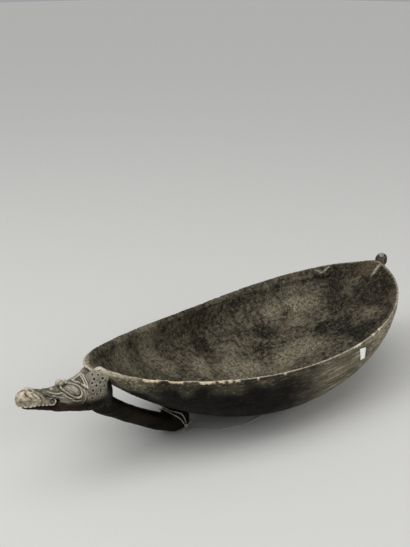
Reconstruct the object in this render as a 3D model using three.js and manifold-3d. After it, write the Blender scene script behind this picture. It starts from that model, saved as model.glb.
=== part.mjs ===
// Long carved feast bowl with a crocodile head, standing on its round bottom and on the foot of its handle bar.
// Millimetres, +Z up. The bowl's length runs along X with the crocodile head at -X.
// The origin is the middle of the small flat under the bowl, level with the surface that the bowl stands on.
import * as THREE from 'three';
import { ConvexGeometry } from 'three/addons/geometries/ConvexGeometry.js';
import { mergeVertices } from 'three/addons/utils/BufferGeometryUtils.js';
import Module from 'manifold-3d';

const wasm = await Module();
wasm.setup();

// Driving dimensions of the bowl
const bowlHalfLength = 370;
const bowlHalfWidth = 169.5;
const tailFullness = 0.139;
const rimMidHeight = 122;
const rimEndRise = 47.5;
const rimWall = 9;
const headEndWall = 14;
const tailLedge = 27;
const floorThickness = 14;
const lipRound = 2;
const planLengthPower = 2.14;
const planWidthPower = 1.63;
const sectionWidthPower = 1.5;
const sectionDepthShare = 0.26;
const keelPowerHead = 2.2;
const keelPowerTail = 1.72;
const footFlatShare = 0.13;

// Driving dimensions of the neck, the handle bar and its foot
const neckOverlap = 20;
const neckLength = 38;
const neckHeight = 62;
const neckHalfWidth = 26;
const barWidth = 37;
const barDepth = 31;
const barNeckDepth = 45;
const barNeckDrop = 21;
const barSag = 1.15;
const footX = -187;
const footLength = 30;

// Driving dimensions of the crocodile head
const headLength = 107;
const headHeight = 58;
const headDrop = 3;
const headHalfWidth = 22;
const headSquareness = 2.3;
const browKnobRadius = 7.5;
const nostrilRadius = 5;
const eyeLength = 34;
const eyeHeight = 19;
const eyeBorder = 2.6;
const eyeStandOff = 1.6;
const eyeLensRise = 1.4;
const crestRise = 4;
const crestLength = 14;
const mouthDepth = 5;
const mouthGape = 1.8;
const toothPitch = 7.5;
const toothCount = 6;
const toothNotch = 3.2;

// Driving dimensions of the tail lug, the paper label and the twine
const lugRadius = 15;
const lugReach = 13;
const lugEyeRadius = 5;
const lugEyeDepth = 3;
const labelWidth = 20;
const labelHeight = 24;
const labelThickness = 0.5;
const labelX = 95.5;
const labelZ = 103.5;
const labelTilt = -0.3;
const twineDiameter = 1.8;
const knotRadius = 3.4;

// Clearance between pieces that touch
const seatGap = 0.3;

const bowlSides = 72;
const outerRings = 11;
const innerRings = 9;

// Shared shapes
const lerp = THREE.MathUtils.lerp;

function signedPower(value, power) {
  return Math.sign(value) * Math.abs(value) ** power;
}

function enclosedVolume(positions, indices) {
  const [a, b, c] = [new THREE.Vector3(), new THREE.Vector3(), new THREE.Vector3()];
  let sum = 0;
  for (let i = 0; i < indices.length; i += 3) {
    a.copy(positions[indices[i]]);
    b.copy(positions[indices[i + 1]]);
    c.copy(positions[indices[i + 2]]);
    sum += a.dot(b.cross(c));
  }
  return sum / 6;
}

// A closed skin through loops of points, with a fan over the first loop and over the last one
function loftThrough(loops) {
  const count = loops[0].length;
  const points = loops.flat();
  const faces = [];
  for (let row = 0; row + 1 < loops.length; row++) {
    for (let i = 0; i < count; i++) {
      const j = (i + 1) % count;
      const [a, b] = [row * count + i, row * count + j];
      faces.push(a, b, b + count, a, b + count, a + count);
    }
  }
  for (const [row, flipped] of [[0, true], [loops.length - 1, false]]) {
    const centre = new THREE.Vector3();
    loops[row].forEach((point) => centre.addScaledVector(point, 1 / count));
    points.push(centre);
    for (let i = 0; i < count; i++) {
      const [a, b] = [row * count + i, row * count + (i + 1) % count];
      faces.push(...(flipped ? [b, a] : [a, b]), points.length - 1);
    }
  }
  if (enclosedVolume(points, faces) < 0) faces.reverse();
  const geometry = new THREE.BufferGeometry().setFromPoints(points);
  geometry.setIndex(faces);
  return geometry;
}

function toSolid(geometry) {
  const bare = geometry.clone();
  bare.deleteAttribute('normal');
  bare.deleteAttribute('uv');
  const merged = mergeVertices(bare, 1e-4);
  return new wasm.Manifold(new wasm.Mesh({
    numProp: 3,
    vertProperties: new Float32Array(merged.attributes.position.array),
    triVerts: new Uint32Array(merged.index.array),
  }));
}

function toGeometry(solid) {
  const mesh = solid.getMesh();
  const geometry = new THREE.BufferGeometry();
  geometry.setAttribute('position', new THREE.BufferAttribute(new Float32Array(mesh.vertProperties), 3));
  geometry.setIndex(new THREE.BufferAttribute(new Uint32Array(mesh.triVerts), 1));
  return geometry;
}

// Bowl form: an egg-shaped plan, a rim that rises to both ends, and a hull that is round at the keel
function rimHeight(x) {
  return rimMidHeight + rimEndRise * (x / bowlHalfLength) ** 2;
}

function bowlForm(headInset, tailInset, sideInset, lift, drop) {
  return {
    reach: (x) => (x < 0 ? bowlHalfLength - headInset : bowlHalfLength - tailInset),
    halfWidth: bowlHalfWidth - sideInset,
    lift,
    drop,
  };
}

const outerForm = bowlForm(0, 0, 0, 0, lipRound);
const innerForm = bowlForm(headEndWall, tailLedge, rimWall, floorThickness, lipRound);

function outlinePoint(form, angle) {
  const along = signedPower(Math.cos(angle), 2 / planLengthPower);
  const across = signedPower(Math.sin(angle), 2 / planWidthPower);
  const width = form.halfWidth * (1 + tailFullness * along);
  return new THREE.Vector2(along * form.reach(along), across * width);
}

function planHalfWidth(form, x) {
  const along = THREE.MathUtils.clamp(x / form.reach(x), -1, 1);
  const across = (1 - Math.abs(along) ** planLengthPower) ** (1 / planWidthPower);
  return form.halfWidth * across * (1 + tailFullness * along);
}

function keelHeight(form, x) {
  const power = x < 0 ? keelPowerHead : keelPowerTail;
  const end = rimHeight(Math.sign(x) * form.reach(x)) - form.drop;
  return form.lift + (end - form.lift) * Math.min(Math.abs(x) / form.reach(x), 1) ** power;
}

function hullHeight(form, x, y) {
  const width = Math.max(planHalfWidth(form, x), 1e-6);
  const across = Math.min(Math.abs(y) / width, 1);
  const depth = (1 - across ** sectionWidthPower) ** sectionDepthShare;
  const top = rimHeight(x) - form.drop;
  return top - (top - keelHeight(form, x)) * depth;
}

// The hull's side at a height, for what is stuck on it
function hullSide(form, x, z) {
  const top = rimHeight(x) - form.drop;
  const depth = THREE.MathUtils.clamp((top - z) / (top - keelHeight(form, x)), 0, 1);
  return planHalfWidth(form, x) * (1 - depth ** (1 / sectionDepthShare)) ** (1 / sectionWidthPower);
}

// Loops run from the middle of the bottom out to the rim, close together where the side is steep
function hullLoops(form, ringCount) {
  const loops = [];
  for (let ring = 1; ring <= ringCount; ring++) {
    const level = Math.cos((ring / ringCount) * Math.PI / 2);
    const steepShare = (1 - level ** (1 / sectionDepthShare)) ** (1 / sectionWidthPower);
    const evenShare = lerp(footFlatShare, 1, (ring - 1) / (ringCount - 1));
    const loop = [];
    for (let side = 0; side < bowlSides; side++) {
      const angle = (side / bowlSides) * 2 * Math.PI;
      const edge = outlinePoint(form, angle);
      const steepness = Math.sin(angle) ** 2;
      const share = ring === 1 ? footFlatShare : lerp(evenShare, Math.max(steepShare, footFlatShare), steepness);
      const [x, y] = [edge.x * share, edge.y * share];
      const z = ring === 1 ? form.lift : hullHeight(form, x, y);
      loop.push(new THREE.Vector3(x, y, z));
    }
    loops.push(loop);
  }
  return loops;
}

function makeBowl() {
  const outer = hullLoops(outerForm, outerRings);
  const inner = hullLoops(innerForm, innerRings).reverse();
  const lipLoops = [0.2, 0.8].map((share) => {
    const loop = [];
    for (let side = 0; side < bowlSides; side++) {
      const angle = (side / bowlSides) * 2 * Math.PI;
      const edge = outlinePoint(outerForm, angle).lerp(outlinePoint(innerForm, angle), share);
      loop.push(new THREE.Vector3(edge.x, edge.y, rimHeight(edge.x)));
    }
    return loop;
  });
  return loftThrough([...outer, ...lipLoops, ...inner]);
}

// The filled hull, a seat gap larger, that trims what grows out of the bowl
function hullCutter(topRise) {
  const form = bowlForm(-seatGap, -seatGap, -seatGap, -seatGap, lipRound + seatGap);
  const loops = hullLoops(form, outerRings);
  const rim = loops[loops.length - 1];
  for (const share of [1, 0.96, 0.92, 0.84]) {
    loops.push(rim.map((point) => {
      const [x, y] = [point.x * share, point.y * share];
      return new THREE.Vector3(x, y, rimHeight(x) + topRise);
    }));
  }
  return toSolid(loftThrough(loops));
}

// A rounded upright section across X: a loop between two heights
function uprightSection({ x, bottom, top, halfWidth, squareness = 2.6, sides = 28 }) {
  const loop = [];
  for (let i = 0; i < sides; i++) {
    const angle = (i / sides) * 2 * Math.PI;
    const y = halfWidth * signedPower(Math.cos(angle), 2 / squareness);
    const z = lerp(bottom, top, 0.5 + 0.5 * signedPower(Math.sin(angle), 2 / squareness));
    loop.push(new THREE.Vector3(x, y, z));
  }
  return loop;
}

const rimEndHeight = rimMidHeight + rimEndRise;
const neckBackX = -bowlHalfLength + neckOverlap;
const neckFrontX = neckBackX - neckLength;
const neckTop = rimEndHeight - lipRound;
const neckBottom = neckTop - neckHeight;
const barJoinX = neckBackX + seatGap;
const barJoinBottom = neckBottom - barNeckDrop;
const footBackX = footX - footLength / 2;
const footFrontX = footX + footLength / 2;

// Handle bar: it climbs from its foot under the bowl to the back of the neck and leaves a finger gap under the hull
function barUnderside(x) {
  return barJoinBottom * Math.max(0, (x - footBackX) / (barJoinX - footBackX)) ** barSag;
}

function makeHandleBar() {
  const climb = [0.03, 0.12, 0.3, 0.55, 0.8, 1].map((share) => {
    const x = lerp(footBackX, barJoinX, share);
    const depth = lerp(barDepth, barNeckDepth, share ** 4);
    return uprightSection({
      x,
      bottom: barUnderside(x),
      top: barUnderside(x) + depth,
      halfWidth: barWidth / 2 + 4 * share ** 4,
    });
  });
  const post = [footFrontX, footFrontX - 3, footX, footBackX + 2].map((x, index) => uprightSection({
    x,
    bottom: 0,
    top: rimMidHeight / 2,
    halfWidth: barWidth / 2 - (index === 0 ? 3 : 0),
    squareness: 3.4,
  }));
  return toSolid(loftThrough([...post, ...climb])).subtract(hullCutter(rimMidHeight));
}

// Neck: a stout upright block that the bowl's lip runs over, waisted towards the bar
function makeNeck() {
  const sections = [
    { share: 0, bottom: barJoinBottom, top: neckTop, halfWidth: barWidth / 2 + 4 },
    { share: 0.1, bottom: barJoinBottom + 4, top: neckTop, halfWidth: neckHalfWidth - 4 },
    { share: 0.3, bottom: neckBottom - 6, top: neckTop, halfWidth: neckHalfWidth },
    { share: 0.7, bottom: neckBottom, top: neckTop - 2, halfWidth: neckHalfWidth - 1 },
    { share: 1, bottom: neckBottom + 3, top: neckTop - 5, halfWidth: neckHalfWidth - 3 },
  ];
  const loops = sections.map(({ share, ...section }) => uprightSection({
    x: lerp(neckBackX, neckFrontX, share),
    squareness: 2.4,
    ...section,
  }));
  return toSolid(loftThrough(loops)).subtract(hullCutter(rimMidHeight));
}

// Crocodile head
const headBackX = neckFrontX - seatGap;
const headBottom = neckTop - headHeight - headDrop;

// Stations from the back of the skull to the snout, as shares of the head's length, height and half width
const headStations = [
  { share: 0, bottom: 0.03, top: 0.97, width: 1.05 },
  { share: 0.12, bottom: 0.09, top: 0.93, width: 1.06 },
  { share: 0.25, bottom: 0.14, top: 0.88, width: 1.02 },
  { share: 0.4, bottom: 0.22, top: 0.87, width: 0.93 },
  { share: 0.6, bottom: 0.36, top: 0.93, width: 0.82 },
  { share: 0.78, bottom: 0.5, top: 1.05, width: 0.8 },
  { share: 0.9, bottom: 0.57, top: 1.06, width: 0.74 },
  { share: 0.97, bottom: 0.64, top: 1, width: 0.56 },
  { share: 1, bottom: 0.72, top: 0.92, width: 0.32 },
];

function headX(share) {
  return headBackX - headLength * share;
}

function headAt(share) {
  const next = Math.max(1, headStations.findIndex((station) => station.share >= share));
  const [from, to] = [headStations[next - 1], headStations[next]];
  const part = (share - from.share) / (to.share - from.share);
  return {
    bottom: headBottom + headHeight * lerp(from.bottom, to.bottom, part),
    top: headBottom + headHeight * lerp(from.top, to.top, part),
    halfWidth: headHalfWidth * lerp(from.width, to.width, part),
  };
}

function ellipsoid(radii, centre) {
  const geometry = new THREE.SphereGeometry(1, 14, 9);
  geometry.scale(...radii);
  geometry.translate(...centre);
  return toSolid(geometry);
}

// An eye: an oval border standing off the sloping cheek, round a low lens
function eye(side) {
  const share = 0.23;
  const slope = THREE.MathUtils.degToRad(45);
  const skull = headAt(share);
  const [middle, rise] = [(skull.top + skull.bottom) / 2, (skull.top - skull.bottom) / 2];
  const outward = new THREE.Vector3(0, side * Math.cos(slope), Math.sin(slope));
  const downhill = new THREE.Vector3(0, side * Math.sin(slope), -Math.cos(slope));
  const along = new THREE.Vector3(1, 0, 0).addScaledVector(downhill, 0.75).normalize();
  const across = new THREE.Vector3().crossVectors(outward, along);
  const place = new THREE.Matrix4().makeBasis(along, across, outward);
  const bulge = 2 / headSquareness;
  const seatY = side * skull.halfWidth * Math.cos(slope) ** bulge;
  place.setPosition(headX(share), seatY, middle + rise * Math.sin(slope) ** bulge);
  const root = 9;
  const inside = [eyeLength / 2 - eyeBorder, eyeHeight / 2 - eyeBorder];
  const oval = () => new THREE.Shape().absellipse(0, 0, eyeLength / 2, eyeHeight / 2, 0, 2 * Math.PI);
  const extrusion = (shape, depth) => new THREE.ExtrudeGeometry(shape, { depth, bevelEnabled: false, curveSegments: 9 });
  const base = extrusion(oval(), root);
  base.translate(0, 0, -root);
  const ring = oval();
  ring.holes.push(new THREE.Path().absellipse(0, 0, ...inside, 0, 2 * Math.PI, true));
  const border = extrusion(ring, 2 * eyeStandOff);
  border.translate(0, 0, -eyeStandOff);
  const lens = new THREE.SphereGeometry(1, 12, 6);
  lens.scale(inside[0] - 1, inside[1] - 1, eyeLensRise);
  return [border, lens].reduce((solid, shape) => {
    return solid.add(toSolid(shape.applyMatrix4(place)));
  }, toSolid(base.applyMatrix4(place)));
}

// The peaked crest in front of the neck: two triangular panels that meet over the skull
function crest() {
  const skull = headAt(0.05);
  const back = headX(0);
  const points = [
    new THREE.Vector3(back, 0, skull.top + crestRise),
    new THREE.Vector3(back, 0, skull.bottom + headHeight / 2),
    new THREE.Vector3(back - crestLength, 0, skull.top - 10),
  ];
  for (const side of [-1, 1]) {
    points.push(new THREE.Vector3(back - crestLength, side * headHalfWidth * 0.4, skull.top - 1));
    points.push(new THREE.Vector3(back - 1, side * 4, skull.top + crestRise));
    points.push(new THREE.Vector3(back, side * (headHalfWidth + 2.5), skull.top - 16));
  }
  return toSolid(new ConvexGeometry(points));
}

// The mouth is a slit along each side of the snout with notched teeth under it
const mouthLine = [[0.42, 0.52], [0.55, 0.44], [0.7, 0.38], [0.85, 0.4], [0.95, 0.42]];

function mouthHeight(share) {
  const at = headAt(share);
  const next = Math.max(1, mouthLine.findIndex(([reach]) => reach >= share));
  const [[fromShare, from], [toShare, to]] = [mouthLine[next - 1], mouthLine[next]];
  return lerp(at.bottom, at.top, lerp(from, to, (share - fromShare) / (toShare - fromShare)));
}

function mouthCutters() {
  const cutters = [];
  for (const side of [-1, 1]) {
    const slit = mouthLine.map(([share]) => {
      const outer = side * (headAt(share).halfWidth + 4);
      const inner = side * Math.max(headAt(share).halfWidth - mouthDepth, 1);
      const z = mouthHeight(share);
      return [
        new THREE.Vector3(headX(share), outer, z - mouthGape),
        new THREE.Vector3(headX(share), outer, z + mouthGape),
        new THREE.Vector3(headX(share), inner, z),
      ];
    });
    cutters.push(toSolid(loftThrough(slit)));
    for (let tooth = 0; tooth < toothCount; tooth++) {
      const share = 0.5 + (tooth * toothPitch) / headLength;
      const notch = new THREE.CylinderGeometry(toothNotch / 2, toothNotch / 2, 9, 6);
      notch.translate(headX(share), side * (headAt(share).halfWidth + 1.5), mouthHeight(share) - mouthGape);
      cutters.push(toSolid(notch));
    }
  }
  return cutters;
}

function makeHead() {
  const loops = headStations.map(({ share }) => uprightSection({ x: headX(share), squareness: headSquareness, ...headAt(share) }));
  let solid = toSolid(loftThrough(loops));
  const brow = headAt(0.32);
  const nose = headAt(0.8);
  const knobSize = [browKnobRadius, browKnobRadius * 0.9, browKnobRadius];
  const added = [ellipsoid(knobSize, [headX(0.32), 0, brow.top + 1.5]), crest(), eye(-1), eye(1)];
  for (const side of [-1, 1]) {
    const size = [nostrilRadius * 1.3, nostrilRadius, nostrilRadius];
    added.push(ellipsoid(size, [headX(0.8), side * nose.halfWidth * 0.42, nose.top - nostrilRadius * 0.6]));
  }
  added.forEach((piece) => { solid = solid.add(piece); });
  mouthCutters().forEach((cutter) => { solid = solid.subtract(cutter); });
  return solid;
}

// Tail lug: a round knob that stands out from the rim's far tip, with a shallow eye carved in each side
function makeLug() {
  const x = bowlHalfLength + lugReach;
  const z = rimEndHeight + lugRadius * 0.2;
  const knob = ellipsoid([lugRadius, lugRadius * 0.8, lugRadius], [x, 0, z]);
  const root = ellipsoid([lugReach + 5, lugRadius * 0.75, lugRadius * 0.8], [bowlHalfLength, 0, z - lugRadius * 0.5]);
  let solid = knob.add(root);
  for (const side of [-1, 1]) {
    const eye = new THREE.CylinderGeometry(lugEyeRadius, lugEyeRadius, lugEyeDepth * 2, 12);
    eye.translate(x, side * lugRadius * 0.8, z);
    solid = solid.subtract(toSolid(eye));
  }
  return solid.subtract(hullCutter(seatGap));
}

// Paper label: a small blank slip that follows the wall under the rim
function makeLabel() {
  const steps = 4;
  const sheet = [];
  for (let row = 0; row <= steps; row++) {
    const across = (row / steps - 0.5) * labelHeight;
    const line = [];
    for (let i = 0; i <= steps; i++) {
      const along = (i / steps - 0.5) * labelWidth;
      const x = labelX + along * Math.cos(labelTilt) - across * Math.sin(labelTilt);
      const z = labelZ + along * Math.sin(labelTilt) + across * Math.cos(labelTilt);
      line.push(new THREE.Vector3(x, -hullSide(outerForm, x, z) - seatGap, z));
    }
    const back = line.map((point) => point.clone().setY(point.y - labelThickness)).reverse();
    sheet.push([...line, ...back]);
  }
  return toSolid(loftThrough(sheet));
}

// Twine: one turn round the post of the bar, a knot with a short tail, and a slack loop that lies on the floor,
// passes under the hull and comes back round the post to the knot
function twine(points) {
  const route = new THREE.CatmullRomCurve3(points.map((point) => new THREE.Vector3(...point)), false, 'centripetal');
  const section = new THREE.Shape().absarc(0, 0, twineDiameter / 2, 0, 2 * Math.PI);
  const steps = Math.min(80, Math.ceil(route.getLength() / (twineDiameter * 2.4)));
  return new THREE.ExtrudeGeometry(section, { steps, curveSegments: 4, extrudePath: route });
}

const knotCentre = [-188, -21.5, 12];
const cordTurnPoints = [
  [-187.9, -21.2, 16], [-189, -20.4, 21.5], [-193, -20.6, 30], [-199.5, -20.9, 38], [-208, -20, 43],
  [-212.6, -12, 44.2], [-213, 0, 44.2], [-212.6, 12, 44.2], [-208, 20, 43], [-201, 21, 33],
  [-191, 20.9, 20], [-180, 20.6, 14], [-170.8, 17, 12.5], [-169.8, 6, 12.2], [-169.8, -6, 12.2],
  [-170.8, -17, 12.4], [-177, -20.6, 12.6], [-184, -21.3, 12.3],
];
const cordReturnPoints = [
  [-190, 21.2, 3.4], [-195, 20.9, 9], [-201, 21, 20], [-207.5, 21, 32], [-213.2, 17, 38.4],
  [-214, 8, 40.6], [-214, 0, 40.9], [-214, -8, 40.6], [-212.5, -17, 39], [-206.5, -21, 34],
  [-199, -20.9, 26.5], [-193.6, -20.9, 18.5], [-191, -21.4, 14.4],
];
const cordLoopPoints = [
  [-186.8, -22, 8.3], [-185, -22.6, 4.6], [-180.5, -22.5, 1.8], [-173, -20.5, 1.2], [-164, -30, 1.2],
  [-147, -53, 1.2], [-125, -65, 1.2], [-98, -74, 1.2], [-72, -73, 1.2], [-47, -70, 1.2], [-33, -62, 1.2],
  [-34, -51, 1.2], [-50, -42, 1.2], [-72, -30, 1.2], [-97, -12, 1.2], [-122, 8, 1.2], [-146, 22, 1.2],
  [-168, 25, 1.2], [-181, 23.5, 1.4], [-187.6, 22.3, 2.2],
];
const cordTailPoints = [[-191.6, -21.8, 10.7], [-195, -22.6, 8.6], [-199.5, -25.5, 7], [-205, -26, 6.4]];

const group = new THREE.Group();

function addPiece(name, shape, color, roughness) {
  const geometry = shape.isBufferGeometry ? shape : toGeometry(shape);
  const flat = geometry.index ? geometry.toNonIndexed() : geometry;
  flat.computeVertexNormals();
  const mesh = new THREE.Mesh(flat, new THREE.MeshStandardMaterial({ color, roughness, metalness: 0 }));
  mesh.name = name;
  group.add(mesh);
}

addPiece('bowl', makeBowl(), 0x3a332b, 0.7);
addPiece('handle_bar', makeHandleBar(), 0x2c231b, 0.65);
addPiece('neck', makeNeck(), 0x4a443b, 0.75);
addPiece('crocodile_head', makeHead(), 0x5a5347, 0.75);
addPiece('tail_lug', makeLug(), 0x5c5142, 0.75);
addPiece('paper_label', makeLabel(), 0xe6e4de, 0.9);
const twineColor = 0xb9b3a4;
addPiece('cord_knot', ellipsoid([knotRadius, knotRadius, knotRadius], knotCentre), twineColor, 0.9);
addPiece('cord_turn', twine(cordTurnPoints), twineColor, 0.9);
addPiece('cord_return', twine(cordReturnPoints), twineColor, 0.9);
addPiece('cord_tail', twine(cordTailPoints), twineColor, 0.9);
addPiece('hanging_cord', twine(cordLoopPoints), twineColor, 0.9);

export default group;
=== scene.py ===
# Looks of a long carved feast bowl with a crocodile head, a handle bar under the hull and a twine tie.
# Metres, +Z up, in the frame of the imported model. The crocodile head is at -X.
import math

import bmesh
import bpy
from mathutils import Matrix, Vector, noise


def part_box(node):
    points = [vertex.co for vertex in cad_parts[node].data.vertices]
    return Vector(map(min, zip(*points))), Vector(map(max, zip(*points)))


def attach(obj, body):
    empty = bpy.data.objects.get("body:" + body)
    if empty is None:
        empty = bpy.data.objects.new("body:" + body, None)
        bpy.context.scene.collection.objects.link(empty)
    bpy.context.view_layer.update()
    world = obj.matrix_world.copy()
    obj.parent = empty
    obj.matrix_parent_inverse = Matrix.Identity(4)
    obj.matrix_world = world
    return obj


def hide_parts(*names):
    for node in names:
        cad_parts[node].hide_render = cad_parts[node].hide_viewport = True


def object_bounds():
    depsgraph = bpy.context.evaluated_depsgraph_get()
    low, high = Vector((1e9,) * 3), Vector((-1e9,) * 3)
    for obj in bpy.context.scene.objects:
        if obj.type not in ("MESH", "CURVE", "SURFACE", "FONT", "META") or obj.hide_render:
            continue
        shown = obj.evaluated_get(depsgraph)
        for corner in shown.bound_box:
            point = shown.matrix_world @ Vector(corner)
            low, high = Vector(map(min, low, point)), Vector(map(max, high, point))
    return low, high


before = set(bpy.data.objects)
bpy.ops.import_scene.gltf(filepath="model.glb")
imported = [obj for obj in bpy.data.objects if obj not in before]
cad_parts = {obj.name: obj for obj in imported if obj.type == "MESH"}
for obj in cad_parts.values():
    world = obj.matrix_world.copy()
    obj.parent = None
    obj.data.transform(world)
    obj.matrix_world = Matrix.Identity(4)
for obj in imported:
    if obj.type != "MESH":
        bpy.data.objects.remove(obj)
solid_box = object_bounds()

# Camera
# It stands where the photographer stood, above and in front of the crocodile's near shoulder. The focal
# length is given in pixels of the photograph's width, and the lens keeps that angle.
camera_place = Vector((-1.1102, -1.0086, 0.7324))
camera_yaw = math.radians(44.39)
camera_dip = math.radians(18.5)
photograph_width = 410
focal_pixels = 900
farthest_seen = 100


def add_object(name, data):
    added = bpy.data.objects.new(name, data)
    bpy.context.collection.objects.link(added)
    return added


def facing(direction):
    """The turn of a camera or a lamp that looks in a direction."""
    return direction.to_track_quat("-Z", "Y").to_euler()


camera_data = bpy.data.cameras.new("camera")
camera_data.sensor_fit = "HORIZONTAL"
camera_data.lens = camera_data.sensor_width * focal_pixels / photograph_width
camera_data.clip_end = farthest_seen
camera = add_object("camera", camera_data)
camera.location = camera_place
camera.rotation_euler = facing(Vector((
    math.sin(camera_yaw) * math.cos(camera_dip),
    math.cos(camera_yaw) * math.cos(camera_dip),
    -math.sin(camera_dip),
)))
bpy.context.scene.camera = camera


# Bowl
# The hull is hollowed from one log with an adze. Its rim climbs to both ends, its hull is round at the keel,
# and a small flat in the middle carries it. Years of use left it dark, with a pale worn lip and fresh chips.
half_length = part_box("bowl")[1][0]
half_width = 0.1695
tail_fullness = 0.139
rim_middle = 0.122
rim_end_rise = 0.0475
side_wall = 0.009
head_end_wall = 0.014
tail_ledge = 0.027
floor_thickness = 0.014
thinnest_wall = 0.0045
lip_round = 0.002
lip_round_power = 0.6
# How far the lip slopes down inwards, as a share of its width, and how the slope runs out
lip_fall = 0.6
lip_fall_power = 1.8
lip_fall_fade = 2.5
plan_powers = (2.14, 1.63)
section_power = 1.5
section_depth_share = 0.26
keel_powers = (2.2, 1.72)
foot_share = 0.13
foot_fade = 2.5
rim_crowding = 1.35
# Too small to see
hairline = 1e-6

outer_form = {"head": half_length, "tail": half_length, "width": half_width, "lift": 0.0}
inner_form = {
    "head": half_length - head_end_wall,
    "tail": half_length - tail_ledge,
    "width": half_width - side_wall,
    "lift": floor_thickness,
}


def ease(low, high, value):
    """0 up to low, 1 from high on, and a soft step between."""
    share = min(max((value - low) / (high - low), 0.0), 1.0)
    return share * share * (3 - 2 * share)


def bell(distance, width):
    """1 at no distance, about a third at the width, and nothing soon after."""
    return math.exp(-(distance / width) ** 2)


def mix(start, end, share):
    return start + (end - start) * share


def rounded(value, power):
    return math.copysign(abs(value) ** power, value)


def rim_height(x):
    return rim_middle + rim_end_rise * (x / half_length) ** 2


def reach(form, x):
    return form["head"] if x < 0 else form["tail"]


def plan_point(form, angle):
    """A point on the rim's outline, seen from above."""
    along = rounded(math.cos(angle), 2 / plan_powers[0])
    across = rounded(math.sin(angle), 2 / plan_powers[1])
    return along * reach(form, along), across * form["width"] * (1 + tail_fullness * along)


def plan_half_width(form, x):
    along = max(-1.0, min(1.0, x / reach(form, x)))
    across = (1 - abs(along) ** plan_powers[0]) ** (1 / plan_powers[1])
    return max(form["width"] * across * (1 + tail_fullness * along), hairline)


def keel_height(form, x):
    power = keel_powers[0] if x < 0 else keel_powers[1]
    end = rim_height(reach(form, x)) - lip_round
    return form["lift"] + (end - form["lift"]) * min(abs(x) / reach(form, x), 1.0) ** power


def hull_height(form, x, y):
    across = min(abs(y) / plan_half_width(form, x), 1.0)
    depth = max(1 - across ** section_power, 0.0) ** section_depth_share
    top = rim_height(x) - lip_round
    return top - (top - keel_height(form, x)) * depth


def hull_point(form, angle, share):
    """A point on the hull, from the middle of its bottom at share 0 to the rim at share 1."""
    edge_x, edge_y = plan_point(form, angle)
    level = 1 - (1 - share) ** rim_crowding
    share = (1 - math.cos(level * math.pi / 2) ** (1 / section_depth_share)) ** (1 / section_power)
    x, y = edge_x * share, edge_y * share
    foot_rise = hull_height(form, edge_x * foot_share, edge_y * foot_share) - form["lift"]
    lowered = foot_rise * (1 - ease(foot_share, foot_share * foot_fade, share))
    return Vector((x, y, max(hull_height(form, x, y) - lowered, form["lift"])))


def skin(name, around, along, place, relief=None, finer=None):
    """A closed skin: a grid wrapped round by place(turn, share), then carved by relief along its normals.
    around and along say how many faces it has each way.
    relief gives a height and a dictionary of masks, which become attributes for the material.
    finer gives a band of shares whose columns are cut again, and how often."""
    mesh = bmesh.new()
    bmesh.ops.create_grid(mesh, x_segments=around, y_segments=along, size=0.5)
    if finer:
        low, high, cuts = finer
        crossing = []
        for edge in mesh.edges:
            start, end = edge.verts[0].co, edge.verts[1].co
            if abs(start.y - end.y) < hairline and low < start.y + 0.5 < high:
                crossing.append(edge)
        bmesh.ops.subdivide_edges(mesh, edges=crossing, cuts=cuts)
    turn_layer = mesh.verts.layers.float.new("turn")
    share_layer = mesh.verts.layers.float.new("share")
    for vert in mesh.verts:
        turn, share = vert.co.x + 0.5, vert.co.y + 0.5
        vert[turn_layer] = turn
        vert[share_layer] = share
        vert.co = place(turn, share)
    bmesh.ops.remove_doubles(mesh, verts=mesh.verts, dist=2 * hairline)
    bmesh.ops.dissolve_degenerate(mesh, edges=mesh.edges, dist=hairline)
    bmesh.ops.recalc_face_normals(mesh, faces=mesh.faces)
    if relief:
        mesh.normal_update()
        carved = [relief(vert[turn_layer], vert[share_layer], vert.co) for vert in mesh.verts]
        layers = {mask: mesh.verts.layers.float.new(mask) for mask in carved[0][1]}
        for vert, (height, masks) in zip(mesh.verts, carved):
            for mask, value in masks.items():
                vert[layers[mask]] = value
        moves = [vert.normal * height for vert, (height, masks) in zip(mesh.verts, carved)]
        for vert, move in zip(mesh.verts, moves):
            vert.co += move
    return finish_piece(name, mesh)


def finish_piece(name, mesh):
    """Keeps a piece inside the solids' box, which is the real one's size, and makes it an object."""
    for vert in mesh.verts:
        vert.co = [min(max(value, low), high) for value, low, high in zip(vert.co, *solid_box)]
    data = bpy.data.meshes.new(name)
    mesh.to_mesh(data)
    mesh.free()
    data.shade_smooth()
    piece = add_object(name, data)
    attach(piece, "root")
    return piece


# Shares of the skin at which the outer wall ends and the inner one starts, and the band that is cut finer
outer_end = 0.47
lip_end = 0.53
lip_band = (0.43, 0.55, 3)
beak_rise = 0.0050
beak_spread = 0.024
neck_side_dip = 0.0030


def lip_width(turn):
    angle = turn * math.tau
    return math.dist(plan_point(outer_form, angle), plan_point(inner_form, angle))


def tail_beak(x, y, below):
    """The rim climbs a little more where it runs into the lug."""
    return beak_rise * bell(math.hypot(x - half_length, y * 0.8), beak_spread) * (1 - ease(0.0, 0.025, below))


def head_dip(x, y, below):
    """Where the neck comes up under it, the near rim sinks at the bowl's tip and rises beside it."""
    sink = ease(-0.340, -0.356, x) * ease(0.0, -0.008, y) * ease(-0.026, -0.014, y)
    rise = ease(-0.334, -0.354, x) * ease(-0.014, -0.026, y)
    return neck_side_dip * (sink - rise) * (1 - ease(0.0, 0.03, below))


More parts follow.
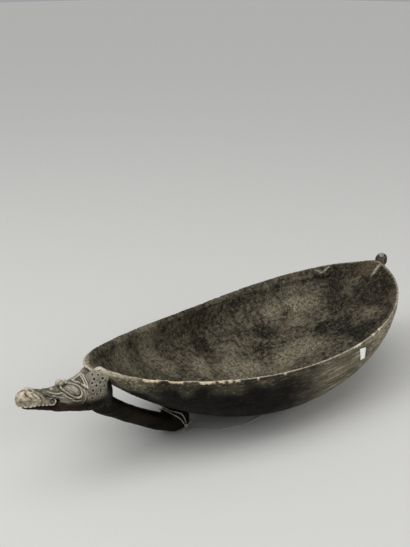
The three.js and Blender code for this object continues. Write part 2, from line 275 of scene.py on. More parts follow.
def bowl_place(turn, share):
    """The bowl's skin: up the outer wall to outer_end, over the lip to lip_end, and down inside."""
    angle = turn * math.tau
    outside = plan_point(outer_form, angle)
    inside = plan_point(inner_form, angle)
    fall = lip_fall * lip_width(turn) * (1 - 0.8 * ease(-0.320, -0.350, outside[0]))
    if share <= outer_end:
        point = hull_point(outer_form, angle, share / outer_end)
        across = 0.0
    elif share < lip_end:
        across = (share - outer_end) / (lip_end - outer_end)
        x = mix(outside[0], inside[0], across)
        y = mix(outside[1], inside[1], across)
        crown = lip_round * math.sin(across * math.pi) ** lip_round_power
        point = Vector((x, y, rim_height(x) - lip_round + crown - fall * across ** lip_fall_power))
    else:
        across = 1.0
        point = hull_point(inner_form, angle, (1 - share) / (1 - lip_end))
        point.z -= fall * math.exp(-(rim_height(point.x) - lip_round - point.z) / (lip_fall_fade * fall))
    if across > 0:
        point.z = max(point.z, hull_height(outer_form, point.x, point.y) + thinnest_wall * across)
    below = rim_height(point.x) - point.z
    point.z += tail_beak(point.x, point.y, below) - head_dip(point.x, point.y, below)
    return point


# Along the near rim, from the middle: where each chip starts and ends
near_chips = [
    (-0.319, -0.299), (-0.285, -0.266), (-0.243, -0.219), (-0.213, -0.205), (-0.200, -0.193),
    (-0.188, -0.179), (-0.150, -0.146), (-0.098, -0.094), (0.068, 0.092), (0.128, 0.136), (0.152, 0.158),
]
# How far down the wall a chip reaches on the head's half and on the tail's, and how deep it is
chip_drops = (0.0040, 0.0022)
chip_depth = 0.0018
nick_depth = 0.0028
rim_wave = 0.0012
# Inside the bowl: pale places where dust has settled, some of them painted light, those at the head's tip
# among them, and places worn dark, each with how far it spreads
pale_dust_and_light_places = [
    ((0.222, 0.086), 0.040), ((0.185, 0.112), 0.028), ((0.250, 0.075), 0.032), ((0.150, -0.004), 0.036),
    ((0.100, 0.016), 0.036), ((0.027, 0.066), 0.044), ((-0.036, 0.105), 0.030), ((0.262, -0.064), 0.022),
    ((-0.130, 0.132), 0.030), ((-0.212, 0.108), 0.020), ((-0.350, 0.004), 0.024), ((-0.335, 0.020), 0.036),
]
dark_places = [
    ((0.311, -0.037), 0.060), ((0.302, 0.060), 0.040), ((0.338, 0.030), 0.030), ((0.222, -0.085), 0.040),
    ((0.218, -0.034), 0.034), ((0.000, 0.135), 0.028), ((0.139, 0.101), 0.026), ((0.100, 0.056), 0.026),
    ((0.270, 0.010), 0.034), ((0.198, 0.003), 0.022), ((0.202, 0.094), 0.008), ((0.328, -0.012), 0.045),
]
far_brown_x = -0.050
# The flat seat cut at the tail's tip, which ends in a sharp edge. Its pale colour is partly wear and partly
# painted light on the side that faces the light
seat_edge = Vector((0.3637, -0.0196))
seat_side = Vector((0.213, 0.977))
seat_rise = 0.0030
rim_scratch = [
    Vector((0.2915, 0.0956, 0.1467)),
    Vector((0.2999, 0.0832, 0.1442)),
    Vector((0.3149, 0.0796, 0.1540)),
]
sticker_centre = Vector((0.096, -0.1685, 0.1025))


def chip_mask(co, share, below_rim, ragged):
    """1 on a chip of the near rim, with a ragged edge."""
    if co.y > 0:
        return 0.0
    inset = max(min(co.x - start, end - co.x) for start, end in near_chips)
    drop = chip_drops[0] if co.x < 0 else chip_drops[1]
    on_wall = 1 - ease(drop, drop + 0.0022, below_rim + 1.4 * ragged)
    on_lip = 1 - ease(outer_end + 0.028, outer_end + 0.042, share)
    return ease(-0.001, 0.002, inset + 1.75 * ragged) * on_wall * on_lip


def past_seat_edge(co):
    return (Vector((co.x, co.y)) - seat_edge).dot(seat_side)


def seat_mask(co):
    lengthwise = ease(0.332, 0.345, co.x + 0.25 * co.y)
    return ease(0.0, 0.0022, past_seat_edge(co)) * lengthwise * (1 - ease(0.026, 0.042, co.y))


def nearness(co, places):
    return max(bell(math.hypot(co.x - x, co.y - y), size) for (x, y), size in places)


def route_distance(point, route):
    """How far a point is from a line of points, and how far along the line its nearest place lies."""
    best, walked, nearest = 1.0, 0.0, 0.0
    for start, end in zip(route, route[1:]):
        step = end - start
        share = min(max((point - start).dot(step) / step.length_squared, 0.0), 1.0)
        apart = (point - start - step * share).length_squared
        if apart < best:
            best = apart
            nearest = walked + step.length * share
        walked += step.length
    return math.sqrt(best), nearest


def adze_marks(co, inside):
    """Long strokes on the outer wall and small dents in the inner one, both over a slow swell."""
    swell = noise.noise(co / 0.075) * 0.0011
    strokes = noise.noise(Vector((co.x / 0.10, co.y / 0.017, co.z / 0.013))) * 0.0006
    dents = (noise.voronoi(Vector((co.x / 0.032, co.y / 0.018, co.z / 0.018)))[0][0] - 0.4) * 0.0013
    return mix(swell + strokes, swell * 0.8 + dents, inside)


def lip_mask(turn, share, co, below_rim, ragged):
    """Where hands wore the lip pale: along its outer edge on the near side, and round the head's end."""
    across = (share - outer_end) / (lip_end - outer_end)
    if across < 0:
        arris = 1 - ease(0.0006, 0.0020, below_rim + ragged)
    else:
        width = mix(0.0022, 0.0034, ease(-0.20, -0.28, co.x))
        arris = bell(across * lip_width(turn) + 0.5 * ragged, width)
    near_side = ease(0.0, -0.06, co.y) * (1 - 0.8 * ease(0.27, 0.34, co.x))
    head_end = ease(-0.300, -0.345, co.x)
    tip = ease(-0.318, -0.345, co.x) * (1 - ease(0.002, 0.007, below_rim + ragged)) * (across < 0.75)
    tip *= 1 - 0.6 * ease(0.15, 0.45, across) * ease(-0.014, -0.004, co.y)
    scratch = 0.8 * bell(route_distance(co, rim_scratch)[0], 0.0018)
    return max(arris * max(near_side, head_end), tip, scratch)


def dust_and_light_mask(co, below_rim, mottle):
    """Dust on the outer wall, thick under the rim at the head, all over the tail's half, thin elsewhere; its
    pale ends are partly painted light.
    """
    at_head = 0.88 * ease(-0.27, -0.34, co.x) * (1 - ease(0.006, 0.042, below_rim + 0.02 * mottle))
    at_tail = ease(-0.09, 0.03, co.x + 0.02 * mottle) * (0.8 + 0.4 * ease(0.10, 0.20, co.x))
    elsewhere = 0.26 * (1 - ease(0.004, 0.03, below_rim + 0.02 * mottle))
    return max(at_head, at_tail, elsewhere)


def bowl_relief(turn, share, co):
    below_rim = rim_height(co.x) - co.z
    inside = ease(outer_end + 0.008, outer_end + 0.022, share)
    outside = 1 - inside
    near_rim = 1 - ease(0.0, 0.012, below_rim)
    under_sticker = outside * ease(0.034, 0.018, (co - sticker_centre).length)
    ragged = noise.noise(co / 0.0045) * 0.002
    mottle = noise.noise(co / 0.030)
    chip = chip_mask(co, share, below_rim, ragged)
    seat = seat_mask(co) * inside
    wall = adze_marks(co, inside) * (1 - 0.75 * near_rim) * (1 - under_sticker)
    nicks = max(0.0, noise.noise(co / 0.006) - 0.1) * nick_depth * (1 - ease(0.0, 0.005, below_rim))
    wave = noise.noise(Vector((co.x / 0.06, 0, 7))) * rim_wave * near_rim * outside
    height = wall + wave - nicks - chip_depth * chip + seat_rise * seat
    seat_arris = 0.9 * seat * bell(past_seat_edge(co) - 0.003, 0.003)
    far_warm = 0.4 * bell(co.x - far_brown_x, 0.10) * ease(0.115, 0.150, co.y)
    tail_warm = 0.3 * ease(0.20, 0.30, co.x + 0.05 * mottle)
    masks = {
        "inside": inside,
        "lip": max(lip_mask(turn, share, co, below_rim, ragged), seat_arris),
        "chip": chip,
        "tan": chip * ease(0.0026, 0.0046, below_rim + ragged) * ease(0.02, -0.02, co.x),
        "dust": dust_and_light_mask(co, below_rim, mottle) * outside,
        "bloom": 0.5 + 0.5 * (nearness(co, pale_dust_and_light_places) - nearness(co, dark_places)) + 0.3 * mottle,
        "warm": max(far_warm, tail_warm, seat),
        "seat": seat * ease(0.032, 0.0, co.y - 0.002 + 0.015 * mottle),
    }
    return height, masks


def shade(red, green, blue):
    """A colour as it is seen on a screen, 0 to 255, in the linear values that a shader takes."""
    return tuple((value / 255 / 12.92 if value <= 10 else ((value / 255 + 0.055) / 1.055) ** 2.4)
                 for value in (red, green, blue))


class Finish:
    """A material that is built up in layers over the piece's own coordinates."""

    def __init__(self, name, gloss=0.2):
        self.material = bpy.data.materials.new(name)
        self.material.use_nodes = True
        self.nodes = self.material.node_tree.nodes
        self.links = self.material.node_tree.links
        self.shader = self.nodes["Principled BSDF"]
        self.shader.inputs["Specular IOR Level"].default_value = gloss
        self.coordinates = self.nodes.new("ShaderNodeTexCoord").outputs["Object"]
        self.tone = None
        self.normal = None

    def feed(self, socket, value):
        if isinstance(value, bpy.types.NodeSocket):
            self.links.new(value, socket)
        else:
            socket.default_value = value

    def pattern(self, kind, size, stretch=(1, 1, 1), turn=0.0):
        """A texture node whose spots have a size in metres, stretched along each way by a number."""
        mapping = self.nodes.new("ShaderNodeMapping")
        mapping.inputs["Scale"].default_value = [1 / (size * part) for part in stretch]
        mapping.inputs["Rotation"].default_value = (0, turn, 0)
        self.links.new(self.coordinates, mapping.inputs["Vector"])
        texture = self.nodes.new(kind)
        texture.inputs["Scale"].default_value = 1
        self.links.new(mapping.outputs["Vector"], texture.inputs["Vector"])
        return texture

    def noise(self, size, detail=4, stretch=(1, 1, 1), turn=0.0, rough=0.55):
        texture = self.pattern("ShaderNodeTexNoise", size, stretch, turn)
        texture.inputs["Detail"].default_value = detail
        texture.inputs["Roughness"].default_value = rough
        return texture.outputs["Fac"]

    def cells(self, size):
        return self.pattern("ShaderNodeTexVoronoi", size).outputs["Distance"]

    def mask(self, name):
        attribute = self.nodes.new("ShaderNodeAttribute")
        attribute.attribute_name = name
        return attribute.outputs["Fac"]

    def between(self, value, low, high, start=0.0, end=1.0):
        """start up to low, end from high on, and a soft step between. high may be the lower one."""
        node = self.nodes.new("ShaderNodeMapRange")
        node.interpolation_type = "SMOOTHSTEP"
        self.feed(node.inputs["Value"], value)
        for label, number in (("From Min", low), ("From Max", high), ("To Min", start), ("To Max", end)):
            node.inputs[label].default_value = number
        return node.outputs["Result"]

    def times(self, first, *others):
        """The product of masks or numbers."""
        for other in others:
            node = self.nodes.new("ShaderNodeMath")
            node.operation = "MULTIPLY"
            self.feed(node.inputs[0], first)
            self.feed(node.inputs[1], other)
            first = node.outputs["Value"]
        return first

    def layer(self, colour, *masks):
        """Lays a colour over what is there, as much as the masks' product says. The first one has no mask."""
        colour = shade(*colour) + (1,)
        if self.tone is None:
            self.tone = colour
            return
        node = self.nodes.new("ShaderNodeMix")
        node.data_type = "RGBA"
        factor_socket, under_socket, over_socket = node.inputs[0], node.inputs[6], node.inputs[7]
        self.feed(factor_socket, self.times(*masks))
        self.feed(under_socket, self.tone)
        self.feed(over_socket, colour)
        self.tone = node.outputs[2]

    def bump(self, height, depth):
        node = self.nodes.new("ShaderNodeBump")
        node.inputs["Distance"].default_value = depth
        node.inputs["Strength"].default_value = 1
        self.feed(node.inputs["Height"], height)
        if self.normal:
            self.links.new(self.normal, node.inputs["Normal"])
        self.normal = node.outputs["Normal"]

    def done(self, roughness):
        self.feed(self.shader.inputs["Base Color"], self.tone)
        self.feed(self.shader.inputs["Roughness"], roughness)
        if self.normal:
            self.links.new(self.normal, self.shader.inputs["Normal"])
        return self.material


# Colours as they are seen on a screen, 0 to 255
old_wood = (18, 15, 11)
black_streaks = (10, 8, 6)
brown_streaks = (58, 49, 37)
wall_dust_and_light = (138, 130, 108)
bare_spots = (74, 60, 44)
thick_dust_and_light = (182, 175, 153)
inside_wood = (77, 72, 59)
inside_hollows = (34, 31, 23)
inside_dust = (104, 98, 80)
inside_clouds = (66, 53, 39)
settled_dust_and_light = (138, 131, 109)
worn_dark = (21, 18, 13)
warm_brown = (78, 62, 45)
adze_arc_highlights = (116, 108, 90)
seat_wear_and_light = (94, 82, 66)
pale_specks = (160, 154, 134)
worn_lip = (192, 184, 160)
fresh_chips = (244, 234, 206)
tan_chips = (204, 168, 118)
painted_chip_shade = (168, 148, 116)


def bowl_finish():
    finish = Finish("old_bowl_wood", gloss=0.1)
    clouds = finish.noise(0.030, 6)
    grain = finish.noise(0.010, 6, stretch=(14, 1, 1))
    fine_grain = finish.noise(0.0030, 4, stretch=(22, 1, 1))
    mottles = finish.noise(0.0085, 6, rough=0.66)
    small_mottles = finish.noise(0.0045, 4, rough=0.65)
    specks = finish.noise(0.0030, 3, rough=0.7)
    cells = finish.cells(0.011)
    arcs = finish.times(finish.between(cells, 0.40, 0.50), finish.between(cells, 0.60, 0.50))
    inside, lip, chip, tan, dust, bloom, warm, seat = [
        finish.mask(name) for name in ("inside", "lip", "chip", "tan", "dust", "bloom", "warm", "seat")
    ]
    # The outer wall: dark wood with lengthwise streaks, and pale dust at both ends, which is partly painted
    # light on the lit ends
    finish.layer(old_wood)
    finish.layer(black_streaks, finish.between(grain, 0.44, 0.58, 0, 0.9))
    finish.layer(brown_streaks, finish.between(fine_grain, 0.55, 0.72, 0, 0.6))
    finish.layer(wall_dust_and_light, dust, finish.between(grain, 0.66, 0.40, 0.35, 0.95))
    finish.layer(bare_spots, dust, finish.between(mottles, 0.50, 0.38, 0, 0.85))
    finish.layer(thick_dust_and_light, dust, finish.between(fine_grain, 0.53, 0.65, 0, 0.75))
    # The inside: grey-green dust over dark brown, in spots as large as an adze leaves
    finish.layer(inside_wood, inside)
    finish.layer(inside_hollows, inside, finish.between(mottles, 0.50, 0.39, 0, 0.9))
    finish.layer(inside_dust, inside, finish.between(mottles, 0.52, 0.63, 0, 0.85))
    finish.layer(inside_clouds, inside, finish.between(clouds, 0.54, 0.66, 0, 0.45))
    pale = finish.times(inside, finish.between(bloom, 0.55, 0.95))
    dark = finish.times(inside, finish.between(bloom, 0.48, 0.12))
    not_dark = finish.times(inside, finish.between(bloom, 0.15, 0.45, 0.45, 1.0))
    # Pale places: settled dust, and painted light where light falls, as at the head's tip
    finish.layer(settled_dust_and_light, pale, finish.between(small_mottles, 0.42, 0.58, 0.1, 0.9))
    finish.layer(worn_dark, dark, finish.between(small_mottles, 0.62, 0.42, 0.55, 1.0))
    finish.layer(warm_brown, inside, warm, finish.between(mottles, 0.42, 0.58, 0.1, 0.7))
    # Pale arcs on the adze dents' ridges: some wear, and painted highlight where light would catch them
    finish.layer(adze_arc_highlights, not_dark, arcs, finish.between(mottles, 0.48, 0.56, 0, 0.75))
    # The seat: pale wear, and painted light on its lit side
    finish.layer(seat_wear_and_light, seat, finish.between(small_mottles, 0.38, 0.58, 0.2, 0.85))
    finish.layer(pale_specks, not_dark, finish.between(specks, 0.60, 0.70, 0, 0.85))
    finish.layer(old_wood, finish.between(specks, 0.41, 0.31, 0, 0.8))
    # The worn lip and its chips
    finish.layer(worn_lip, lip, finish.between(small_mottles, 0.38, 0.54, 0.35, 0.97))
    finish.layer(fresh_chips, chip)
    finish.layer(tan_chips, tan, finish.between(small_mottles, 0.40, 0.54, 0.2, 0.85))
    # Darker patches in the chips are painted shade
    finish.layer(painted_chip_shade, chip, finish.between(small_mottles, 0.56, 0.64, 0, 0.6))
    finish.bump(grain, 0.0006)
    finish.bump(mottles, 0.0022)
    finish.bump(specks, 0.0008)
    return finish.done(finish.between(clouds, 0.35, 0.7, 0.5, 0.75))


bowl = skin("carved_bowl", 380, 146, bowl_place, bowl_relief, finer=lip_band)
bowl.data.materials.append(bowl_finish())
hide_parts("bowl")


# Handle bar
# It is left standing when the log is cut away: it climbs from a blunt foot under the hull to the back of the
# neck, with a finger gap above it. It is dry, and nobody wore it smooth. Its colours are painted darker than
# the wood, as painted shade for the shade under the hull.
neck_overlap = 0.020
neck_length = 0.038
neck_height = 0.062
bar_half_width = 0.0185
bar_squareness = 2.8
bar_depth = 0.031
bar_neck_depth = 0.045
bar_neck_drop = 0.021
bar_neck_lap = 0.012
bar_end_round = 0.004
bar_sag = 1.15
foot_x = -0.187
foot_length = 0.030
foot_sunk = 0.006

rim_end_height = rim_middle + rim_end_rise
neck_back = -half_length + neck_overlap
neck_front = neck_back - neck_length
neck_top = rim_end_height - lip_round
neck_bottom = neck_top - neck_height
bar_join_bottom = neck_bottom - bar_neck_drop
foot_back = foot_x - foot_length / 2
foot_front = foot_x + foot_length / 2
bar_end = neck_back - bar_neck_lap


def section(turn, low, high, half, squareness, roof=None):
    """A point on a rounded upright section, as (y, z), whose upper half may be sharper or flatter."""
    angle = turn * math.tau
    if roof and math.sin(angle) > 0:
        squareness = roof
    y = half * rounded(math.cos(angle), 2 / squareness)
    z = mix(low, high, 0.5 + 0.5 * rounded(math.sin(angle), 2 / squareness))
    return y, z


def dome(distance, radius):
    """How wide a rounded end is, as a share, at a distance from its tip."""
    return math.sqrt(max(1 - (1 - min(max(distance / radius, 0.0), 1.0)) ** 2, 0.0))


def bar_place(turn, share):
    closed = dome(min(share, 1 - share) * (foot_front - bar_end), bar_end_round)
    x = mix(foot_front, bar_end, share)
    climb = max(0.0, (x - foot_back) / (neck_back - foot_back))
    low = bar_join_bottom * climb ** bar_sag
    high = low + mix(bar_depth, bar_neck_depth, min(climb, 1) ** 4)
    in_hull = hull_height(outer_form, x, 0) + foot_sunk
    high = mix(high, max(high, in_hull), ease(foot_back - 0.014, foot_back + 0.001, x))
    half = bar_half_width + 0.004 * climb ** 4 - 0.003 * (1 - ease(0.0, 0.08, share))
    y, z = section(turn, low, high, half, bar_squareness)
    if share < 0.5:
        z = mix((low + high) / 2, z, closed)
    return Vector((x, y * closed, z))


def bar_relief(turn, share, co):
    swell = noise.noise(co / 0.028) * 0.0009
    facets = noise.noise(Vector((co.x / 0.05, co.y / 0.009, co.z / 0.009))) * 0.0006
    above_floor = ease(0.0, 0.004, co.z)
    return (swell + facets) * above_floor, {}


# The bar's colours are darkened as painted shade, for the shade under the hull
shaded_bar_wood = (28, 23, 16)
bar_streaks = (15, 12, 8)
bar_patches = (44, 36, 26)
bar_specks = (62, 53, 40)


def bar_finish():
    finish = Finish("bar_wood_in_painted_shade", gloss=0.1)
    grain = finish.noise(0.006, 6, stretch=(12, 1, 1), turn=0.45)
    patches = finish.noise(0.05, 4)
    specks = finish.noise(0.0022, 3, rough=0.7)
    finish.layer(shaded_bar_wood)
    finish.layer(bar_streaks, finish.between(grain, 0.42, 0.6))
    finish.layer(bar_patches, finish.between(patches, 0.52, 0.72, 0, 0.6))
    finish.layer(bar_specks, finish.between(specks, 0.6, 0.74, 0, 0.5))
    finish.bump(grain, 0.0008)
    finish.bump(specks, 0.0004)
    return finish.done(0.7)


bar = skin("carved_bar", 96, 120, bar_place, bar_relief)
bar.data.materials.append(bar_finish())
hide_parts("handle_bar")


# Neck
# A stout block between the bowl's end and the head, cut from the same log. The lip of the bowl runs over it,
# and its sides are stippled with rows of drilled pits. Its dusty finish is the head's and the lug's too.
neck_half_width = 0.026
# Shares of the neck's length from the bowl to the head, and there its bottom, top and half width
neck_stations = [
    (-0.36, bar_join_bottom + 0.004, 0.138, bar_half_width - 0.0010),
    (-0.18, bar_join_bottom + 0.002, 0.148, bar_half_width + 0.0040),
    (-0.02, bar_join_bottom + 0.002, 0.1645, neck_half_width - 0.0010),
    (0.10, bar_join_bottom + 0.003, 0.1685, neck_half_width),
    (0.3, neck_bottom - 0.008, 0.1681, neck_half_width),
    (0.5, neck_bottom - 0.005, 0.1662, neck_half_width),
    (0.72, neck_bottom - 0.003, 0.1622, neck_half_width - 0.001),
    (1.03, neck_bottom - 0.0005, 0.1595, neck_half_width - 0.003),
]
# How square the upper half is at the bowl and at the head, and how square the lower half is
neck_roofs = (4.5, 1.9)
neck_squareness = 2.4
neck_flare = 0.0065
joint_round = 0.002
far_drop = 0.0086
pit_radius = 0.0019
pit_depth = 0.0026
pit_rim_rise = 0.0005


def metres(points):
    """Points given in millimetres."""
    return [Vector(point) / 1000 for point in points]


# Drilled pits on one side, mirrored to the other
pits = metres([
    (-373.9, 20.2, 157.9), (-363.9, 28, 158.2), (-378, 20.9, 152.7), (-367.4, 26.6, 152.2),
    (-373.5, 25.2, 148.3), (-359.3, 25.9, 143.9), (-378.8, 22.8, 141.7), (-366.4, 25.3, 139.8),
    (-373.2, 25.2, 134.8), (-381.3, 23.4, 131.2), (-385.8, 21.4, 120.2), (-363, 17.6, 167.6),
    (-361, 18, 167.2), (-359, 18.4, 166.7), (-373.1, 14.6, 163.6), (-368.2, 22.7, 164),
    (-359.6, 29.2, 153.9), (-365.5, 24.6, 128),
])


def curve_point(before, start, end, after, share):
    """A number or a point on a smooth curve from start to end, with its neighbours on both sides."""
    bend = (before * 2 - start * 5 + end * 4 - after) * share ** 2
    bend += (start * 3 - before - end * 3 + after) * share ** 3
    return (start * 2 + (end - before) * share + bend) * 0.5


def smooth_between(table, place):
    """The values of a table of stations at a place, on a curve through them."""
    index = max(i for i in range(len(table) - 1) if i == 0 or table[i][0] <= place)
    rows = table[max(index - 1, 0)], table[index], table[index + 1], table[min(index + 2, len(table) - 1)]
    share = min(max((place - rows[1][0]) / (rows[2][0] - rows[1][0]), 0.0), 1.0)
    return [curve_point(*column, share) for column in list(zip(*rows))[1:]]


def mirrored(co):
    return Vector((co.x, abs(co.y), co.z))


def neck_place(turn, share):
    first, last = neck_stations[0][0], neck_stations[-1][0]
    along = mix(first, last, share)
    closed = dome(min(along - first, last - along) * neck_length, joint_round)
    low, high, half = smooth_between(neck_stations, along)
    roof = mix(*neck_roofs, ease(0.35, 0.85, along))
    y, z = section(turn, low, high, half, neck_squareness, roof)
    high_up = ease(0.146, 0.158, z)
    under_rim = ease(0.62, 0.12, along)
    y += math.copysign(neck_flare, y) * ease(0.25, 0.75, abs(y) / half) * high_up * under_rim
    z -= far_drop * ease(-0.010, 0.004, y) * high_up * ease(0.85, 0.55, along)
    return Vector((mix(neck_back, neck_front, along), y * closed, mix((low + high) / 2, z, closed)))


dusty_mask_names = ("hollow", "raised", "snout", "jaw", "shaded", "band")


def dusty_masks(**given):
    """The masks that the dusty finish reads, 0 where a piece gives none."""
    return {name: given.get(name, 0.0) for name in dusty_mask_names}


def neck_relief(turn, share, co):
    side = mirrored(co)
    pit, rim = 0.0, 0.0
    for centre in pits:
        apart = (side - centre).length
        pit = max(pit, 1 - ease(pit_radius * 0.5, pit_radius * 1.15, apart))
        rim = max(rim, bell(apart - pit_radius * 1.55, 0.0008))
    rough = noise.noise(co / 0.012) * 0.0005 + noise.noise(co / 0.0035) * 0.0003
    lip = ease(0.1650, 0.1672, co.z) * ease(-0.368, -0.361, co.x) * ease(0.0, -0.004, co.y)
    # Painted shade: under the neck, at its back, and a little over all of it
    underside = ease(0.141, 0.122, co.z)
    rear = ease(-0.3575, -0.3515, co.x) * ease(0.162, 0.154, co.z)
    return rough - pit_depth * pit + pit_rim_rise * rim, dusty_masks(
        hollow=pit,
        raised=max(rim * 0.9, 0.35 + rough / 0.0012, 1.3 * lip) * (1 - pit),
        shaded=max(0.28, underside, rear) * (1 - lip),
    )


carved_wood = (121, 115, 99)
carved_clouds = (60, 55, 44)
carved_grain = (144, 139, 122)
dusty_edges_and_highlights = (208, 202, 184)
worn_snout = (200, 188, 165)
snout_lights = (232, 220, 196)
snout_stains = (104, 82, 62)
red_brown = (94, 60, 41)
grime_and_painted_shade = (22, 18, 13)
jaw_red_and_shade = (38, 22, 16)


def dusty_finish():
    finish = Finish("dusty_carved_wood", gloss=0.1)
    clouds = finish.noise(0.016, 5)
    grain = finish.noise(0.0035, 5, stretch=(5, 1, 1))
    specks = finish.noise(0.0014, 3, rough=0.7)
    spots = finish.noise(0.0085, 5, rough=0.6)
    hollow, raised, snout, jaw, shaded, band = [finish.mask(name) for name in dusty_mask_names]
    finish.layer(carved_wood)
    finish.layer(carved_clouds, finish.between(clouds, 0.56, 0.42, 0, 0.8))
    finish.layer(carved_grain, finish.between(grain, 0.5, 0.66, 0, 0.65))
    finish.layer(dusty_edges_and_highlights, raised, finish.between(specks, 0.36, 0.56, 0.3, 0.9))
    finish.layer(worn_snout, snout, finish.between(clouds, 0.3, 0.6, 0.5, 0.95))
    finish.layer(snout_lights, snout, finish.between(spots, 0.49, 0.38, 0, 0.9))
    finish.layer(snout_stains, snout, finish.between(spots, 0.51, 0.58, 0, 0.85))
    finish.layer(red_brown, band, 0.9)
    # Painted shade on undersides and at the neck's back
    finish.layer(grime_and_painted_shade, shaded, finish.between(clouds, 0.3, 0.6, 0.93, 1.0))
    # Red-brown lower jaw, darkened also as painted shade under the upper lip
    finish.layer(jaw_red_and_shade, jaw, finish.between(clouds, 0.3, 0.6, 0.8, 0.98))
    # Carved hollows: grime and painted shade
    finish.layer(grime_and_painted_shade, hollow, 0.95)
    finish.bump(grain, 0.0005)
    finish.bump(specks, 0.0003)
    return finish.done(finish.between(clouds, 0.3, 0.7, 0.62, 0.85))


neck = skin("carved_neck", 300, 90, neck_place, neck_relief)
dusty_wood = dusty_finish()
neck.data.materials.append(dusty_wood)
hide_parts("neck")


# Crocodile head
# Carved in one with the neck: a long snout with curled nostrils and a toothed upper lip over a thin lower
# jaw, a knob on the brow, oval eyes inside nested borders, and a crest. Its snout is worn pale.
head_length = 0.107
head_height = 0.058
head_drop = 0.003
head_half_width = 0.022
head_middle = 0.52
head_squareness = 2.3
head_roof = 2.0
head_crowding = 0.97
head_back = neck_front - 0.0003
head_bottom = neck_top - head_height - head_drop
# Shares of the head's length, and there its bottom and top as shares of its height and its width as a share
head_stations = [
    (-0.06, 0.0, 0.90, 1.00), (0.0, -0.02, 0.92, 1.05), (0.12, 0.05, 0.87, 1.06), (0.25, 0.14, 0.855, 1.02),
    (0.4, 0.22, 0.845, 0.93), (0.5, 0.29, 0.867, 0.86), (0.6, 0.36, 0.925, 0.82), (0.72, 0.45, 1.015, 0.81),
    (0.8, 0.51, 1.06, 0.79), (0.9, 0.57, 1.06, 0.74), (1.05, 0.62, 1.03, 0.68),
]
snout_start = 0.88
snout_end = 1.002
snout_power = 2.2
neck_lap = -0.012


def head_place(turn, share):
    along = mix(neck_lap, snout_end, share ** head_crowding)
    low, high, wide = smooth_between(head_stations, min(along, 1.0))
    low = head_bottom + head_height * low
    high = head_bottom + head_height * high
    past_start = max((along - snout_start) / (snout_end - snout_start), 0)
    closed = math.sqrt(max(1 - past_start ** snout_power, 0.0))
    closed *= dome((along - neck_lap) * head_length, joint_round)
    y, z = section(turn, low, high, head_half_width * wide, head_squareness, head_roof)
    middle = mix(low, high, head_middle)
    return Vector((head_back - head_length * along, y * closed, mix(middle, z, closed)))


def knife_work(rows):
    """Carved lines given in millimetres, each with its rise, its half width, and a ball that holds it."""
    lines = []
    for rise, width, route in rows:
        points = metres(route)
        centre = sum(points, Vector()) / len(points)
        ball = max((point - centre).length for point in points) + 3 * width / 1000
        lines.append((rise / 1000, width / 1000, points, centre, ball))
    return lines


def carve(point, lines):
    height = 0.0
    for rise, width, points, centre, ball in lines:
        if (point - centre).length < ball:
            height += rise * bell(route_distance(point, points)[0], width)
    return height


# The foremost fold of the upper lip, which is stained red-brown
front_fold = [(-485, 3.5, 168.6), (-485.5, 8, 166.3), (-484, 12, 162.4), (-480.5, 14.5, 160.1)]
stained_route = metres(front_fold)
